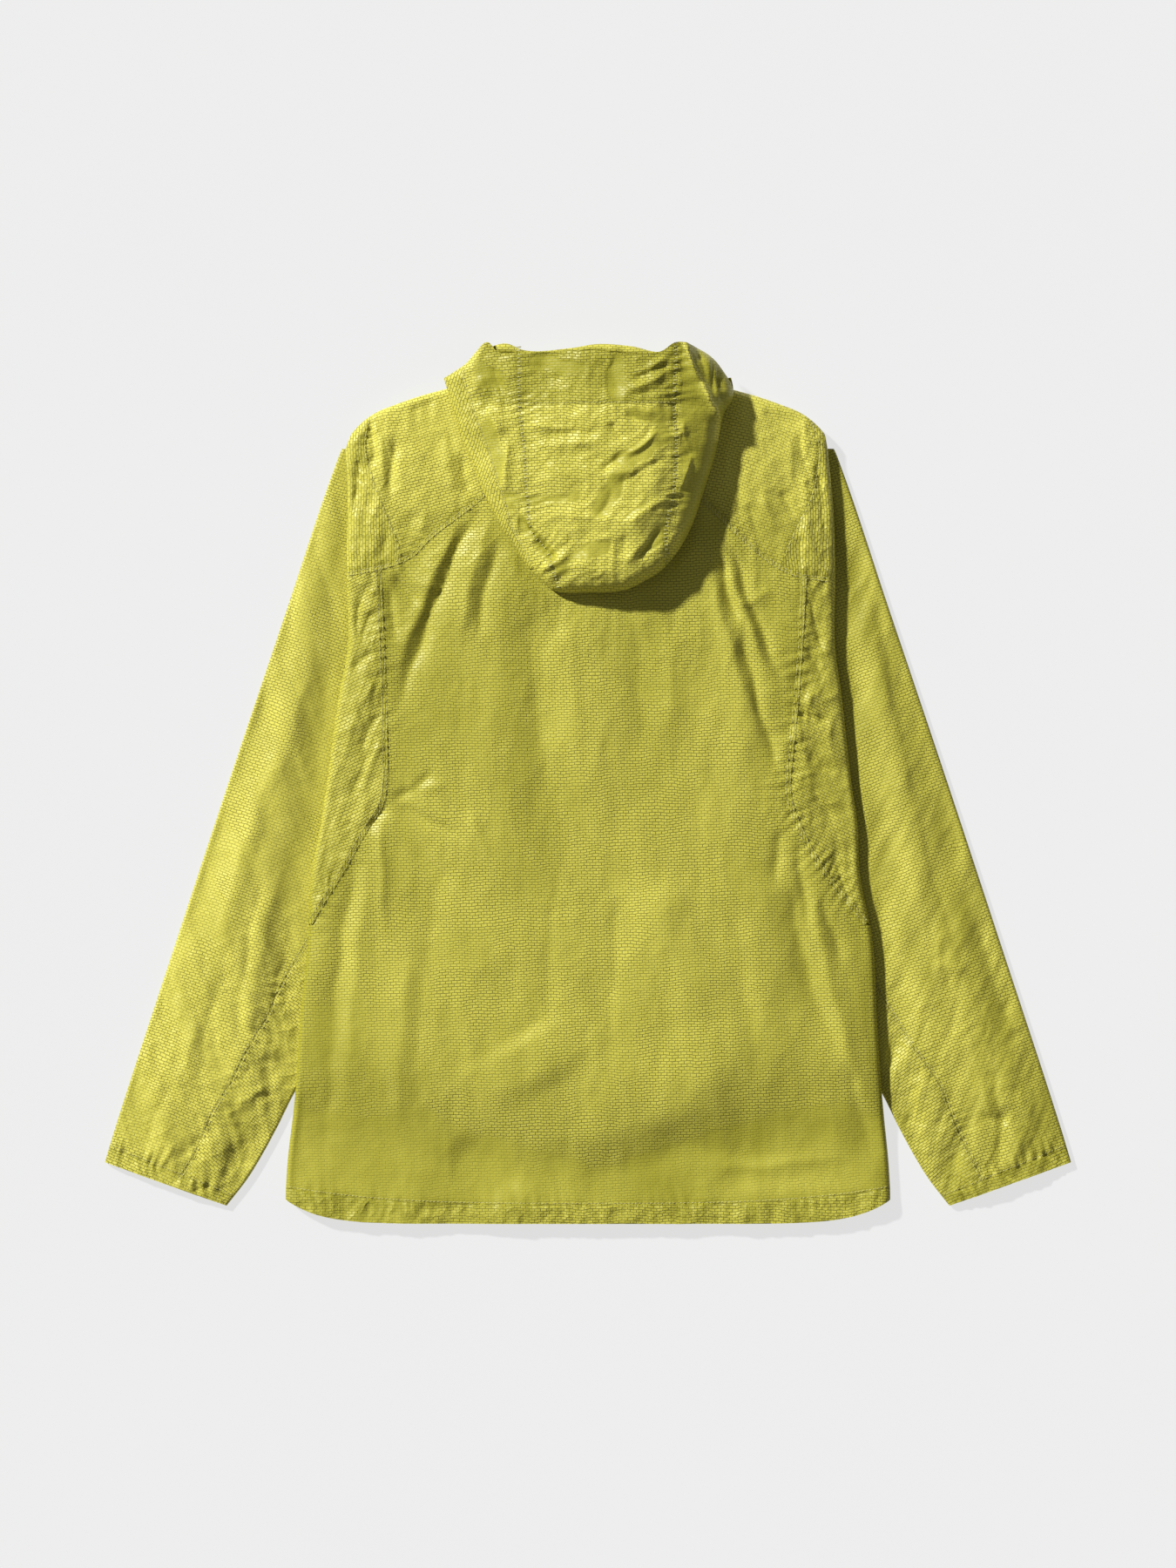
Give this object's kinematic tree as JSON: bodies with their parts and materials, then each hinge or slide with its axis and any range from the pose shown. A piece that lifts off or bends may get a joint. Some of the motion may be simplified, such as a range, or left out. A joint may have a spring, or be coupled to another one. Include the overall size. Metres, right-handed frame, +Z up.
{
  "type": "hooded windbreaker jacket",
  "caption": "Lightweight hooded windbreaker laid flat on its front, with a panelled back, yokes, long sleeves and the hood lying on the back.",
  "frame": {"origin": "middle of the jacket's outline, on the surface that it lies on", "axes": "+Z up from that surface towards the viewer, +Y towards the hood, +X to the right as seen from above, across the sleeves"},
  "size_m": [0.8328, 0.7574, 0.0636],
  "materials": {
    "shell": "thin crinkled nylon with a soft sheen",
    "trim": "doubled nylon with stitched edges",
    "zip": "woven tape with small moulded teeth",
    "slider": "satin"
  },
  "bodies": {
    "root": {"back_panel": "shell", "side_panel_left": "shell", "side_panel_right": "shell", "yoke_left": "shell", "yoke_right": "shell", "sleeve_head_left": "shell", "sleeve_head_right": "shell", "front_left": "shell", "front_right": "shell", "sleeve_back_left": "shell", "sleeve_back_right": "shell", "sleeve_outer_left": "shell", "sleeve_outer_right": "shell", "sleeve_outer_upper_left": "shell", "sleeve_outer_upper_right": "shell", "sleeve_under_left": "shell", "sleeve_under_right": "shell", "sleeve_front_left": "shell", "sleeve_front_right": "shell", "collar_left": "shell", "collar_right": "shell", "hood_crown": "shell", "hood_brim": "shell", "hood_side_left": "shell", "hood_side_right": "shell", "hood_under": "shell", "hem_back": "trim", "hood_band": "trim", "collar_lip": "trim", "hem_front_left": "trim", "hem_front_right": "trim", "cuff_back_left": "trim", "cuff_back_right": "trim", "cuff_front_left": "trim", "cuff_front_right": "trim", "zip_tape": "zip", "zip_slider": "slider"}
  },
  "joints": []
}
